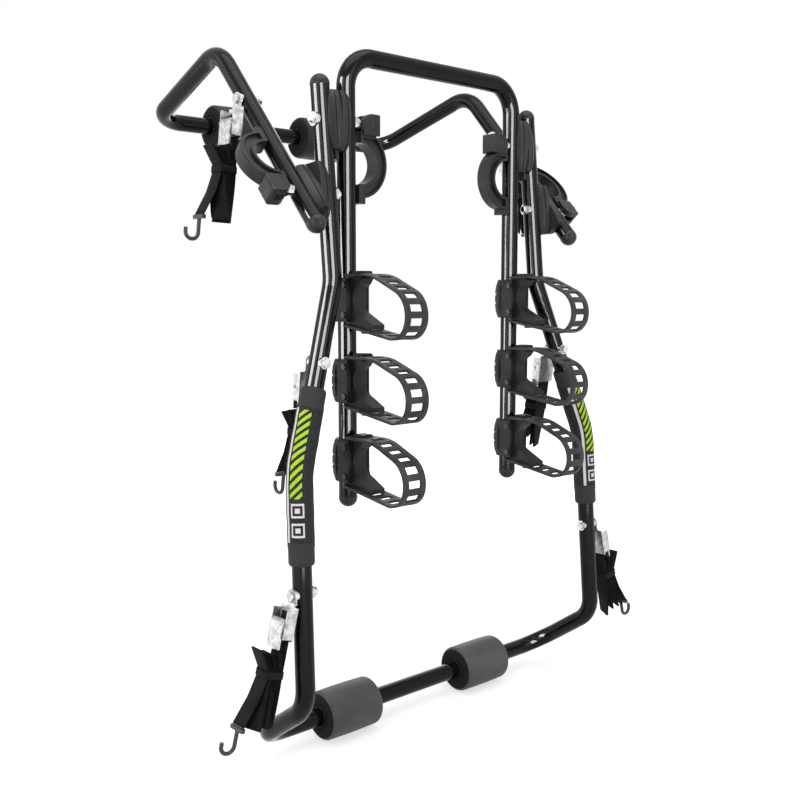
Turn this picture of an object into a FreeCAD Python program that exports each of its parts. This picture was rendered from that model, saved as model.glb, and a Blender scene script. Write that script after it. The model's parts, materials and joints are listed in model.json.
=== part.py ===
import FreeCAD, Part
import math
import os

# Strap-on bike rack for a hatchback or a boot lid, made of three bent steel tubes.
# +X runs across the car, -Y faces the bikes, +Y faces the car and +Z is up.
# The origin is the middle of the lower crossbar, on the tube's axis. Lengths are in millimetres.

V = FreeCAD.Vector
LEFT_RIGHT = (("left", -1), ("right", 1))

# Steel tube, the same for all three frames
TUBE_R = 12.7
TUBE_WALL = 1.5

# Lower frame: the heights and half widths of one leg's bends
FOOT_X = 285.0
FOOT_Y = -115.0
FOOT_Z = 80.0
ELBOW_X = 278.0
ELBOW_Y = -96.0
ELBOW_Z = 378.0
SHOULDER_X = 198.0
SHOULDER_Y = -62.0
SHOULDER_Z = 615.0
LEG_LEAN = 5.5
LEG_TOP_Z = 866.0
CORNER_BEND_R = 50.0
FOOT_BEND_R = 45.0
ELBOW_BEND_R = 120.0
SHOULDER_BEND_R = 60.0

# Pivots of the bike arms (upper) and of the upper frame (lower), along the legs
ARM_PIVOT_Z = 822.0
UPPER_PIVOT_Z = 728.0

# Bike arms: one hoop, inside the lower frame's legs
ARM_X = 159.0
ARM_RISE = 88.0
ARM_DROP = 498.0
ARM_BEND_R = 42.0

# Upper frame: one U, outside the lower frame's legs
UPPER_X = 243.0
UPPER_RAISE = 48.0
UPPER_TAIL = 54.0
UPPER_LEG = 278.0
UPPER_FOOT = 226.0
UPPER_BEND = 65.0
UPPER_TAPER = 14.0
UPPER_BEND_R = 52.0
UPPER_CORNER_R = 46.0

# Domed end caps with a plug inside the tube
CAP_PROUD = 0.3
CAP_HEAD = 2.0
CAP_PLUG = 14.0

# Foam rollers on the two crossbars
ROLLER_R = 35.5
ROLLER_BULGE = 2.0
ROLLER_LENGTH = 90.0
ROLLER_EDGE_R = 4.0
LOWER_ROLLER_X = 134.0
UPPER_ROLLER_X = 86.0

# Padded sleeves over the lower frame's elbows
SLEEVE_PAD = 4.6
SLEEVE_ABOVE = 108.0
SLEEVE_BELOW = 116.0

# Saddle knuckles, one clamped to each tube at a pivot
KNUCKLE_LENGTH = 76.0
KNUCKLE_REACH = 24.0
KNUCKLE_HALF_DEPTH = 19.0
KNUCKLE_SHOULDER_AT = 0.72
KNUCKLE_SHOULDER = 0.88
KNUCKLE_END = 0.66
KNUCKLE_RIM = 4.0
KNUCKLE_RIB_DEPTH = 1.3
KNUCKLE_RIB_GAP = 1.8
KNUCKLE_RIB_ANGLES = (-62.0, -31.0, 0.0, 31.0, 62.0)
KNUCKLE_PLAY = 0.15
LUG_SIZE = 12.0

# Pivot bolts with dome nuts, and the cam levers that clamp them
BOLT_R = 4.0
BOLT_PLAY = 0.06
SADDLE_R = 9.0
SADDLE_HEIGHT = 2.0
NUT_R = 6.5
NUT_HEIGHT = 6.0
NUT_FLAT = 3.0
NUT_DOME_R = 5.4
NUT_DOME_EDGE = 2.4
NUT_THREAD = 4.0
CAM_WASHER_R = 8.0
CAM_PIN_OUT = 34.0
CAM_PIN_R = 3.0
CAM_R = 14.0
CAM_CLEARANCE = 0.3
EYE_R = 6.0
EYE_HALF_WIDTH = 4.0
HEAD_OUT = 16.0
HEAD_HALF_WIDTH = 13.0
HEAD_EDGE_R = 4.0
SLOT_HALF_WIDTH = 4.3
SLOT_OUT = 8.0
HANDLE_OUT = 17.0
HANDLE_DOWN = 51.0
HANDLE_INNER_R = 27.0
HANDLE_OUTER_R = 46.0
HANDLE_HALF_WIDTH = 10.5
HANDLE_EDGE_R = 3.0
HANDLE_RIM = 4.0
HANDLE_RECESS = 4.5
HANDLE_TIP = 7.0
HANDLE_TIP_GAP = 0.9
HANDLE_WASHER_GAP = 1.0

# Cradles, three on each arm, set out from the arm's lower end
CRADLES = 3
CRADLE_END_GAP = 51.0
CRADLE_SPACING = 108.0
CRADLE_HALF_WIDTH = 17.0
CRADLE_HALF_HEIGHT = 29.0
CLAMP_OUT = 22.0
JAW_HALF_WIDTH = 10.0
SEAT_R = 21.0
SEAT_OUT = 46.0
SEAT_UP = 1.0
SEAT_TOP_ANGLE = 112.0
SEAT_BOTTOM_ANGLE = 240.0
JAW_TOP = 31.0
LIP_OUT = 66.0
LIP_DROP = 39.0
LIP_UNDER_SEAT = 12.0
LIP_EDGE = 3.0
JAW_EDGE = 3.0
STUD_OUT = 24.0
STUD_LENGTH = 19.0
STUD_HALF_WIDTH = 9.0
STUD_HEIGHT = 7.0
STUD_EDGE_R = 2.0
TOOTH_OUT = 40.0
TOOTH_LENGTH = 7.0
TOOTH_HALF_WIDTH = 8.0
TOOTH_REACH = 5.0
LADDER_FIT = 0.1
SHELL_R = 21.5
SHELL_END_R = 17.0
SHELL_GROOVE = 1.5
SHELL_GROOVE_UP = 6.8
SHELL_GROOVE_HALF = 2.65
SHELL_TAPER_UP = 20.0
EAR_THICKNESS = 2.4
EAR_OUT = 23.0
EAR_BACK = 3.0
EAR_SHORT = 2.0
SCREW_R = 2.5
SCREW_HEAD_R = 4.2
SCREW_HEAD_HEIGHT = 2.2
SCREW_OUT = 17.8
SCREW_UP = 20.0

# Rubber ladder straps, one looped round each cradle: corners of the loop and their bend radii
LADDER_WIDTH = 37.0
LADDER_THICKNESS = 3.0
LADDER_PITCH = 18.0
LADDER_SLOT_WIDTH = 20.0
LADDER_SLOT_LENGTH = 10.0
LADDER_START_OUT = 16.0
LADDER_PEAK_OUT = 70.0
LADDER_NOSE_OUT = 142.0
LADDER_NOSE_UP = 4.0
LADDER_CHIN_OUT = 136.0
LADDER_CHIN_DOWN = 52.0
LADDER_TAIL_OUT = 15.0
LADDER_TAIL_DOWN = 33.4
LADDER_TAIL_R = 12.0
LADDER_PEAK_R = 80.0
LADDER_NOSE_R = 34.0
LADDER_CHIN_R = 28.0

# Tie-down straps: where each cam buckle is bolted on
BOTTOM_STRAP_Z = 226.0
SIDE_STRAP_Z = 512.0
TOP_STRAP_DOWN = 172.0
STRAP_BOLT_R = 3.0
STRAP_NUT_R = 6.0
STRAP_NUT_HEIGHT = 5.0
STRAP_WASHER_R = 8.0
STRAP_WASHER_HEIGHT = 2.0
BOTTOM_TILT = 14.0
SIDE_TILT = 8.0
TOP_TILT = 6.0

# Cam buckles
PLATE = 2.0
TAB_HALF_WIDTH = 9.0
BUCKLE_TOP = 8.0
BUCKLE_LENGTH = 46.0
BUCKLE_HALF_WIDTH = 16.5
CHEEK_HEIGHT = 15.0
CHEEK_DROP = 8.0
CAM_DOWN = 34.0
CAM_UP = 11.0
BUCKLE_PIN_R = 2.4
DRUM_R = 6.4
THUMB_LENGTH = 30.0
THUMB_THICKNESS = 2.4
THUMB_NARROWER = 1.0
BUCKLE_PLAY = 0.4
BUCKLE_NECK = 4.0
BUCKLE_BAR = 4.0
BUCKLE_FOOT = 3.0
PIN_HEAD = 1.2
GRIP_ANGLES = (-60.0, -90.0, -120.0)
GRIP_DEPTH = 1.0
GRIP_HALF = 0.5

# Webbing, folded into a hank and tied at the waist
WEB_WIDTH = 25.0
WEB_THICKNESS = 1.4
WEB_STRANDS = 9
WEB_PITCH = 2.6
WEB_FAN = 6.4
WEB_HEAD = 5.0
WEB_FAN_LEAN = 6.0
WEB_HEAD_LEAN = 8.0
WEB_UNEVEN = 3.0
FAN_TURN_R = 2.8
HEAD_TURN_R = 1.9
WAIST_DOWN = 96.0
FAN_LENGTH = 62.0
HEAD_LENGTH = 27.0
BAND_HEIGHT = 9.0
BAND_THICKNESS = 1.2
WEB_BEND_R = 6.0
WEB_FIT = 0.2
WEB_START = 4.0

# Vinyl-dipped hooks at the straps' free ends
HOOK_WIRE_R = 2.6
HOOK_BEND_R = 9.0
HOOK_SHANK = 24.0
HOOK_RETURN = 14.0
HOOK_FLAT = 0.5
HOOK_BELOW = 0.5

# Half of a turn, in radians, below which two runs count as one
STRAIGHT = 0.001

os.makedirs("parts", exist_ok=True)


def save(node, *shapes):
    solids = [solid for shape in shapes for solid in shape.Solids]
    Part.makeCompound(solids).exportStep("parts/" + node + ".step")
    print(node, len(solids), "solids", round(sum(s.Volume for s in solids) / 1000.0, 2), "cm3",
          "" if all(s.isValid() for s in solids) else "NOT VALID")


def box(x0, x1, y0, y1, z0, z1):
    return Part.makeBox(x1 - x0, y1 - y0, z1 - z0, V(x0, y0, z0))


def rod(radius, start, end):
    return Part.makeCylinder(radius, (end - start).Length, start, end - start)


def rounded_path(points, radii):
    """A wire of straight runs through the points, with an arc of the given radius at each inner point."""
    edges = []
    last = points[0]
    for before, corner, after, radius in zip(points, points[1:], points[2:], radii):
        a = (before - corner).normalize()
        b = (after - corner).normalize()
        half_turn = (math.pi - a.getAngle(b)) / 2.0
        if half_turn < STRAIGHT:
            continue
        reach = radius * math.tan(half_turn)
        start = corner + a * reach
        end = corner + b * reach
        middle = corner + (a + b).normalize() * (radius / math.cos(half_turn) - radius)
        if (start - last).Length > 0.001:
            edges.append(Part.LineSegment(last, start).toShape())
        edges.append(Part.Arc(start, middle, end).toShape())
        last = end
    edges.append(Part.LineSegment(last, points[-1]).toShape())
    return Part.Wire(edges)


def sweep(path, profile):
    shell = Part.BRepOffsetAPI.MakePipeShell(path)
    shell.add(profile)
    shell.build()
    shell.makeSolid()
    return shell.shape()


def round_bar(path, radius):
    start = path.Edges[0]
    direction = start.tangentAt(start.FirstParameter)
    circle = Part.Wire([Part.Circle(start.valueAt(start.FirstParameter), direction, radius).toShape()])
    return sweep(path, circle)


def flat_bar(path, across, width, thickness):
    """A flat strip along a plane path; across is the direction of its width."""
    start = path.Edges[0]
    origin = start.valueAt(start.FirstParameter)
    along = start.tangentAt(start.FirstParameter)
    normal = across.cross(along).normalize()
    corners = [origin + across * (i * width / 2.0) + normal * (j * thickness / 2.0)
               for i, j in ((-1, -1), (1, -1), (1, 1), (-1, 1))]
    return sweep(path, Part.makePolygon(corners + corners[:1]))


def tube(path):
    return round_bar(path, TUBE_R).cut(round_bar(path, TUBE_R - TUBE_WALL))


def moved(shape, origin, x_axis, y_axis):
    """Carries a shape from its own axes to the given origin and directions."""
    z_axis = x_axis.cross(y_axis)
    matrix = FreeCAD.Matrix(x_axis.x, y_axis.x, z_axis.x, origin.x,
                            x_axis.y, y_axis.y, z_axis.y, origin.y,
                            x_axis.z, y_axis.z, z_axis.z, origin.z,
                            0, 0, 0, 1)
    result = shape.copy()
    result.Placement = FreeCAD.Placement(matrix).multiply(shape.Placement)
    return result


def leg_point(side, z):
    """A point on the axis of a lower frame leg, above its shoulder."""
    return V(side * SHOULDER_X, SHOULDER_Y + (z - SHOULDER_Z) * math.tan(math.radians(LEG_LEAN)), z)


DOWN = V(0, 0, -1)
LEG_DOWN = V(0, -math.sin(math.radians(LEG_LEAN)), -math.cos(math.radians(LEG_LEAN)))
UPPER_DOWN = V(0, math.cos(math.radians(UPPER_RAISE)), math.sin(math.radians(UPPER_RAISE)))
UPPER_TURNED = V(0, math.cos(math.radians(UPPER_RAISE - UPPER_BEND)),
                 math.sin(math.radians(UPPER_RAISE - UPPER_BEND)))
ARM_Y = leg_point(1, ARM_PIVOT_Z).y
UPPER_Y = leg_point(1, UPPER_PIVOT_Z).y
ARM_PLANE_X = (ARM_X + SHOULDER_X) / 2.0
UPPER_PLANE_X = (UPPER_X + SHOULDER_X) / 2.0


def upright(shape, origin, x_axis, z_axis):
    return moved(shape, origin, x_axis, z_axis.cross(x_axis))


def lower_leg_point(side, z):
    """A point on the axis of a lower frame leg, below its shoulder."""
    top = V(SHOULDER_X, SHOULDER_Y, SHOULDER_Z)
    bottom = V(ELBOW_X, ELBOW_Y, ELBOW_Z)
    if z < ELBOW_Z:
        top, bottom = bottom, V(FOOT_X, FOOT_Y, FOOT_Z)
    point = top + (bottom - top) * ((top.z - z) / (top.z - bottom.z))
    return V(side * point.x, point.y, point.z)


def lower_leg_direction(side, z):
    return (lower_leg_point(side, z - 1.0) - lower_leg_point(side, z)).normalize()


def arm_pivot(side):
    return V(side * ARM_PLANE_X, ARM_Y, ARM_PIVOT_Z)


def upper_pivot(side):
    return V(side * UPPER_PLANE_X, UPPER_Y, UPPER_PIVOT_Z)


def upper_leg_point(side, down):
    return V(side * UPPER_X, UPPER_Y, UPPER_PIVOT_Z) + UPPER_DOWN * down


def frame_leg_corners(side):
    return [leg_point(side, LEG_TOP_Z), V(side * SHOULDER_X, SHOULDER_Y, SHOULDER_Z),
            V(side * ELBOW_X, ELBOW_Y, ELBOW_Z), V(side * FOOT_X, FOOT_Y, FOOT_Z), V(side * FOOT_X, 0, 0)]


def lower_frame_tube():
    radii = [SHOULDER_BEND_R, ELBOW_BEND_R, FOOT_BEND_R, CORNER_BEND_R]
    path = rounded_path(frame_leg_corners(1) + frame_leg_corners(-1)[::-1], radii + radii[::-1])
    shape = tube(path)
    across = V(2 * TUBE_R, 0, 0)
    for _, side in LEFT_RIGHT:
        for z in (ARM_PIVOT_Z, UPPER_PIVOT_Z):
            pivot = leg_point(side, z)
            shape = shape.cut(rod(BOLT_R + BOLT_PLAY, pivot - across, pivot + across))
        bottom = lower_leg_point(side, BOTTOM_STRAP_Z)
        shape = shape.cut(rod(STRAP_BOLT_R, bottom - across, bottom + across))
        middle = lower_leg_point(side, SIDE_STRAP_Z)
        shape = shape.cut(rod(STRAP_BOLT_R, middle - V(0, 2 * TUBE_R, 0), middle + V(0, 2 * TUBE_R, 0)))
    return shape


def arm_hoop_tube():
    top = ARM_PIVOT_Z + ARM_RISE
    end = ARM_PIVOT_Z - ARM_DROP
    corners = [V(ARM_X, ARM_Y, end), V(ARM_X, ARM_Y, top), V(-ARM_X, ARM_Y, top), V(-ARM_X, ARM_Y, end)]
    shape = tube(rounded_path(corners, [ARM_BEND_R, ARM_BEND_R]))
    for _, side in LEFT_RIGHT:
        pivot = V(side * ARM_X, ARM_Y, ARM_PIVOT_Z)
        shape = shape.cut(rod(BOLT_R, pivot - V(2 * TUBE_R, 0, 0), pivot + V(2 * TUBE_R, 0, 0)))
    return shape


def upper_frame_corners(side):
    bend = upper_leg_point(side, UPPER_LEG)
    corner = bend + UPPER_TURNED * UPPER_FOOT - V(side * UPPER_TAPER, 0, 0)
    return [upper_leg_point(side, -UPPER_TAIL), bend, corner]


def upper_frame_tube():
    radii = [UPPER_BEND_R, UPPER_CORNER_R]
    shape = tube(rounded_path(upper_frame_corners(1) + upper_frame_corners(-1)[::-1], radii + radii[::-1]))
    across = V(2 * TUBE_R, 0, 0)
    for _, side in LEFT_RIGHT:
        for radius, down in ((BOLT_R, 0.0), (STRAP_BOLT_R, TOP_STRAP_DOWN)):
            point = upper_leg_point(side, down)
            shape = shape.cut(rod(radius, point - across, point + across))
    return shape


def end_cap(end, outward):
    """A domed head, a little proud of the tube, with a plug inside the tube."""
    radius = TUBE_R + CAP_PROUD
    cap = Part.makeCylinder(radius, CAP_HEAD)
    cap = cap.fuse(Part.makeSphere(radius, V(0, 0, CAP_HEAD), V(0, 0, 1), 0, 90, 360))
    cap = cap.fuse(Part.makeCylinder(TUBE_R - TUBE_WALL, CAP_PLUG, V(0, 0, -CAP_PLUG))).removeSplitter()
    return upright(cap, end, V(1, 0, 0), outward)


def roller(centre):
    half = ROLLER_LENGTH / 2.0
    rim = ROLLER_R - ROLLER_BULGE
    corners = [V(-half, TUBE_R, 0), V(-half, rim, 0), V(half, rim, 0), V(half, TUBE_R, 0)]
    edges = [Part.LineSegment(corners[0], corners[1]).toShape(),
             Part.Arc(corners[1], V(0, ROLLER_R, 0), corners[2]).toShape(),
             Part.LineSegment(corners[2], corners[3]).toShape(),
             Part.LineSegment(corners[3], corners[0]).toShape()]
    body = Part.Face(Part.Wire(edges)).revolve(V(0, 0, 0), V(1, 0, 0), 360)
    rims = [e for e in body.Edges if isinstance(e.Curve, Part.Circle) and abs(e.Curve.Radius - rim) < 0.01]
    body = body.makeFillet(ROLLER_EDGE_R, rims)
    body.translate(centre)
    return body


def sleeve(side):
    elbow = V(side * ELBOW_X, ELBOW_Y, ELBOW_Z)
    up = (V(side * SHOULDER_X, SHOULDER_Y, SHOULDER_Z) - elbow).normalize()
    down = (V(side * FOOT_X, FOOT_Y, FOOT_Z) - elbow).normalize()
    path = rounded_path([elbow + up * SLEEVE_ABOVE, elbow, elbow + down * SLEEVE_BELOW], [ELBOW_BEND_R])
    return round_bar(path, TUBE_R + SLEEVE_PAD).cut(round_bar(path, TUBE_R))


def half_barrel(reach, half_depth):
    """A half barrel along Z with its flat at X = KNUCKLE_PLAY: a loft through arcs closed by a line."""
    sections = []
    profile = ((-1.0, KNUCKLE_END), (-KNUCKLE_SHOULDER_AT, KNUCKLE_SHOULDER), (0.0, 1.0),
               (KNUCKLE_SHOULDER_AT, KNUCKLE_SHOULDER), (1.0, KNUCKLE_END))
    for height, share in profile:
        z = height * KNUCKLE_LENGTH / 2.0
        a = V(KNUCKLE_PLAY, -half_depth * share, z)
        b = V(reach * share, 0, z)
        c = V(KNUCKLE_PLAY, half_depth * share, z)
        sections.append(Part.Wire([Part.Arc(a, b, c).toShape(), Part.LineSegment(c, a).toShape()]))
    return Part.makeLoft(sections, True, False)


def knuckle(tube_distance, bolt_hole, lug=False):
    """One saddle half: X points from the joint face to the tube, Z along the tube."""
    body = half_barrel(KNUCKLE_REACH, KNUCKLE_HALF_DEPTH)
    for angle in KNUCKLE_RIB_ANGLES:
        groove = box(KNUCKLE_PLAY + KNUCKLE_RIM, 2 * KNUCKLE_REACH, -KNUCKLE_RIB_GAP / 2, KNUCKLE_RIB_GAP / 2,
                     -KNUCKLE_LENGTH, KNUCKLE_LENGTH)
        groove.rotate(V(KNUCKLE_PLAY, 0, 0), V(0, 0, 1), angle)
        body = body.cut(groove)
    body = body.fuse(half_barrel(KNUCKLE_REACH - KNUCKLE_RIB_DEPTH, KNUCKLE_HALF_DEPTH - KNUCKLE_RIB_DEPTH))
    if lug:
        bottom = -KNUCKLE_LENGTH / 2.0
        body = body.fuse(box(KNUCKLE_PLAY, KNUCKLE_PLAY + LUG_SIZE / 2, -LUG_SIZE / 2, LUG_SIZE / 2,
                             bottom - LUG_SIZE, bottom + LUG_SIZE))
    body = body.cut(rod(TUBE_R, V(tube_distance, 0, -KNUCKLE_LENGTH), V(tube_distance, 0, KNUCKLE_LENGTH)))
    return body.cut(rod(bolt_hole, V(-TUBE_R, 0, 0), V(2 * KNUCKLE_REACH, 0, 0)))


def saddle(centre, outward, tube_along, radius, top, hole):
    """A washer whose underside is cut to sit on a tube; top is its height above the tube's axis."""
    washer = rod(radius, centre, centre + outward * top)
    washer = washer.cut(rod(TUBE_R, centre - tube_along * 3 * TUBE_R, centre + tube_along * 3 * TUBE_R))
    return washer.cut(rod(hole, centre, centre + outward * 2 * top))


def hexagon(radius, height):
    corners = [V(radius * math.cos(math.radians(60 * i)), radius * math.sin(math.radians(60 * i)), 0)
               for i in range(7)]
    return Part.Face(Part.makePolygon(corners)).extrude(V(0, 0, height))


def dome_nut(seat, outward):
    """A hexagon with a domed end, round the end of a pivot bolt that stops inside the dome."""
    dome = Part.makeCylinder(NUT_DOME_R, NUT_HEIGHT - NUT_FLAT, V(0, 0, NUT_FLAT))
    nut = hexagon(NUT_R, NUT_FLAT).fuse(dome)
    rim = [e for e in nut.Edges if isinstance(e.Curve, Part.Circle) and e.BoundBox.ZMin > NUT_HEIGHT - 0.01]
    nut = nut.makeFillet(NUT_DOME_EDGE, rim)
    nut = nut.cut(Part.makeCylinder(BOLT_R, NUT_THREAD))
    return moved(nut, seat, V(0, 1, 0), outward.cross(V(0, 1, 0)))


def pivot_bolt(far_side, clamp_side, outward, along):
    """The shank with its eye; far_side is the nut's seat, clamp_side the clamped tube's axis."""
    pin_axis = outward.cross(along).normalize()
    eye = clamp_side + outward * CAM_PIN_OUT
    start = far_side - outward * NUT_THREAD
    bolt = rod(BOLT_R, start, eye)
    bolt = bolt.fuse(rod(EYE_R, eye - pin_axis * EYE_HALF_WIDTH, eye + pin_axis * EYE_HALF_WIDTH))
    return bolt.cut(rod(CAM_PIN_R, eye - pin_axis * EYE_R * 2, eye + pin_axis * EYE_R * 2))


def cam_pin(clamp_side, outward, along):
    pin_axis = outward.cross(along).normalize()
    eye = clamp_side + outward * CAM_PIN_OUT
    return rod(CAM_PIN_R, eye - pin_axis * HEAD_HALF_WIDTH, eye + pin_axis * HEAD_HALF_WIDTH)


def cam_lever():
    """X points away from the tube's axis, Y along the cam pin, and the handle hangs towards -Z."""
    inner = CAM_PIN_OUT - CAM_R
    outer = CAM_PIN_OUT + HEAD_OUT
    half = HEAD_HALF_WIDTH
    head = box(CAM_PIN_OUT, outer, -half, half, -CAM_R, CAM_R)
    head = head.makeFillet(HEAD_EDGE_R, [e for e in head.Edges if e.BoundBox.XMin > outer - 0.01])
    head = head.fuse(box(inner, CAM_PIN_OUT, -half, half, -CAM_R, 0))
    head = head.fuse(rod(CAM_R, V(CAM_PIN_OUT, -half, 0), V(CAM_PIN_OUT, half, 0)))
    side = HANDLE_HALF_WIDTH
    ring = rod(HANDLE_OUTER_R, V(HANDLE_OUT, -side, -HANDLE_DOWN), V(HANDLE_OUT, side, -HANDLE_DOWN))
    ring = ring.makeFillet(HANDLE_EDGE_R, [e for e in ring.Edges if isinstance(e.Curve, Part.Circle)])
    hollow = rod(HANDLE_INNER_R, V(HANDLE_OUT, -2 * side, -HANDLE_DOWN),
                 V(HANDLE_OUT, 2 * side, -HANDLE_DOWN))
    ring = ring.common(box(HANDLE_OUT, 2 * outer, -side, side, -3 * HANDLE_DOWN,
                           -CAM_WASHER_R - HANDLE_WASHER_GAP))
    recess = rod(HANDLE_OUTER_R - HANDLE_RIM, V(HANDLE_OUT, side - HANDLE_RECESS, -HANDLE_DOWN),
                 V(HANDLE_OUT, 2 * side, -HANDLE_DOWN))
    recess = recess.cut(rod(HANDLE_INNER_R + HANDLE_RIM, V(HANDLE_OUT, -side, -HANDLE_DOWN),
                            V(HANDLE_OUT, 2 * side, -HANDLE_DOWN)))
    recess = recess.common(box(HANDLE_OUT + HANDLE_RIM, 2 * outer, -side, 2 * side,
                               -3 * HANDLE_DOWN, -CAM_R - HANDLE_RIM))
    tip_bottom = -HANDLE_DOWN - HANDLE_OUTER_R
    tip = box(TUBE_R + HANDLE_TIP_GAP, HANDLE_OUT + HANDLE_TIP, -side, side,
              tip_bottom - HANDLE_TIP, tip_bottom + HANDLE_OUTER_R - HANDLE_INNER_R - 2.0)
    lever = head.fuse(ring).fuse(tip).cut(hollow)
    lever = lever.cut(recess).cut(recess.mirror(V(0, 0, 0), V(0, 1, 0)))
    lever = lever.cut(box(inner - 1.0, CAM_PIN_OUT + SLOT_OUT, -SLOT_HALF_WIDTH, SLOT_HALF_WIDTH,
                          -CAM_R - 1.0, CAM_R + 1.0))
    lever = lever.cut(rod(CAM_PIN_R + BOLT_PLAY, V(CAM_PIN_OUT, -2 * half, 0), V(CAM_PIN_OUT, 2 * half, 0)))
    return lever.removeSplitter()


def cradle_point(out, up):
    return V(0, -out, up)


def seat_point(degrees):
    angle = math.radians(degrees)
    return cradle_point(SEAT_OUT + SEAT_R * math.cos(angle), SEAT_UP + SEAT_R * math.sin(angle))


def cradle_seat():
    """The front half of a cradle, round the front of the arm, with the C-shaped seat for the bike's tube."""
    top = seat_point(SEAT_TOP_ANGLE)
    bottom = seat_point(SEAT_BOTTOM_ANGLE)
    middle = seat_point((SEAT_TOP_ANGLE + SEAT_BOTTOM_ANGLE) / 2.0)
    jaw_out = STUD_OUT + STUD_LENGTH
    outline = [bottom, cradle_point(LIP_OUT, SEAT_UP - SEAT_R - LIP_UNDER_SEAT),
               cradle_point(LIP_OUT, -LIP_DROP + LIP_EDGE / 2),
               cradle_point(LIP_OUT - LIP_EDGE, -LIP_DROP), cradle_point(0, -CRADLE_HALF_HEIGHT),
               cradle_point(0, CRADLE_HALF_HEIGHT), cradle_point(STUD_OUT, JAW_TOP),
               cradle_point(jaw_out, JAW_TOP), cradle_point(jaw_out + JAW_EDGE / 2, JAW_TOP - JAW_EDGE), top]
    edges = [Part.LineSegment(a, b).toShape() for a, b in zip(outline, outline[1:])]
    edges.append(Part.Arc(top, middle, bottom).toShape())
    face = Part.Face(Part.Wire(edges))
    face.translate(V(-JAW_HALF_WIDTH, 0, 0))
    seat = face.extrude(V(2 * JAW_HALF_WIDTH, 0, 0))
    seat = seat.fuse(box(-CRADLE_HALF_WIDTH, CRADLE_HALF_WIDTH, -CLAMP_OUT, 0,
                         -CRADLE_HALF_HEIGHT, CRADLE_HALF_HEIGHT))
    seat = seat.fuse(ladder_stud(0)).fuse(ladder_tooth(0))
    seat = seat.cut(rod(TUBE_R, V(0, 0, -2 * CRADLE_HALF_HEIGHT), V(0, 0, 2 * CRADLE_HALF_HEIGHT)))
    return cut_screws(seat)


def ladder_stud(fit):
    """The raised block that the ladder strap's head sits round, grown all round by fit."""
    stud = box(-STUD_HALF_WIDTH, STUD_HALF_WIDTH, -STUD_OUT - STUD_LENGTH, -STUD_OUT,
               CRADLE_HALF_HEIGHT - STUD_EDGE_R, JAW_TOP + STUD_HEIGHT)
    if fit:
        return box(-STUD_HALF_WIDTH - fit, STUD_HALF_WIDTH + fit, -STUD_OUT - STUD_LENGTH - fit,
                   -STUD_OUT + fit, CRADLE_HALF_HEIGHT, JAW_TOP + STUD_HEIGHT)
    return stud.makeFillet(STUD_EDGE_R, [e for e in stud.Edges if e.BoundBox.ZMin > JAW_TOP])


def ladder_tooth(fit):
    """The tooth under the jaw that catches one of the strap's slots, grown all round by fit."""
    return box(-TOOTH_HALF_WIDTH - fit, TOOTH_HALF_WIDTH + fit, -TOOTH_OUT - TOOTH_LENGTH - fit,
               -TOOTH_OUT + fit, -LIP_DROP - TOOTH_REACH, -CRADLE_HALF_HEIGHT - TOOTH_REACH)


def cut_screws(shape):
    for up in (-SCREW_UP, SCREW_UP):
        reach = V(2 * CRADLE_HALF_WIDTH, 0, 0)
        centre = cradle_point(SCREW_OUT, up)
        shape = shape.cut(rod(SCREW_R, centre - reach, centre + reach))
    return shape


def cradle_shell():
    """The back half, a ridged half shell whose ears hold the two screws."""
    groove = SHELL_R - SHELL_GROOVE
    upper = [(SHELL_R, SHELL_GROOVE_UP - SHELL_GROOVE_HALF), (groove, SHELL_GROOVE_UP),
             (SHELL_R, SHELL_GROOVE_UP + SHELL_GROOVE_HALF), (groove, SHELL_TAPER_UP),
             (SHELL_END_R, CRADLE_HALF_HEIGHT), (TUBE_R, CRADLE_HALF_HEIGHT)]
    outline = [(r, -up) for r, up in upper[::-1]] + upper
    points = [V(r, 0, up) for r, up in outline]
    shell = Part.Face(Part.makePolygon(points + points[:1])).revolve(V(0, 0, 0), V(0, 0, 1), 180)
    for side in (-1, 1):
        inner = side * CRADLE_HALF_WIDTH
        outer = side * (CRADLE_HALF_WIDTH + EAR_THICKNESS)
        height = CRADLE_HALF_HEIGHT - EAR_SHORT
        shell = shell.fuse(box(min(inner, outer), max(inner, outer), -EAR_OUT, EAR_BACK, -height, height))
    return cut_screws(shell)


def cradle_screws():
    screws = []
    reach = CRADLE_HALF_WIDTH + EAR_THICKNESS
    for up in (-SCREW_UP, SCREW_UP):
        centre = cradle_point(SCREW_OUT, up)
        end = V(reach, 0, 0)
        head = V(SCREW_HEAD_HEIGHT, 0, 0)
        screw = rod(SCREW_R, centre - end, centre + end)
        screw = screw.fuse(rod(SCREW_HEAD_R, centre - end - head, centre - end))
        screws.append(screw.fuse(rod(SCREW_HEAD_R, centre + end, centre + end + head)))
    return Part.makeCompound(screws)


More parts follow.
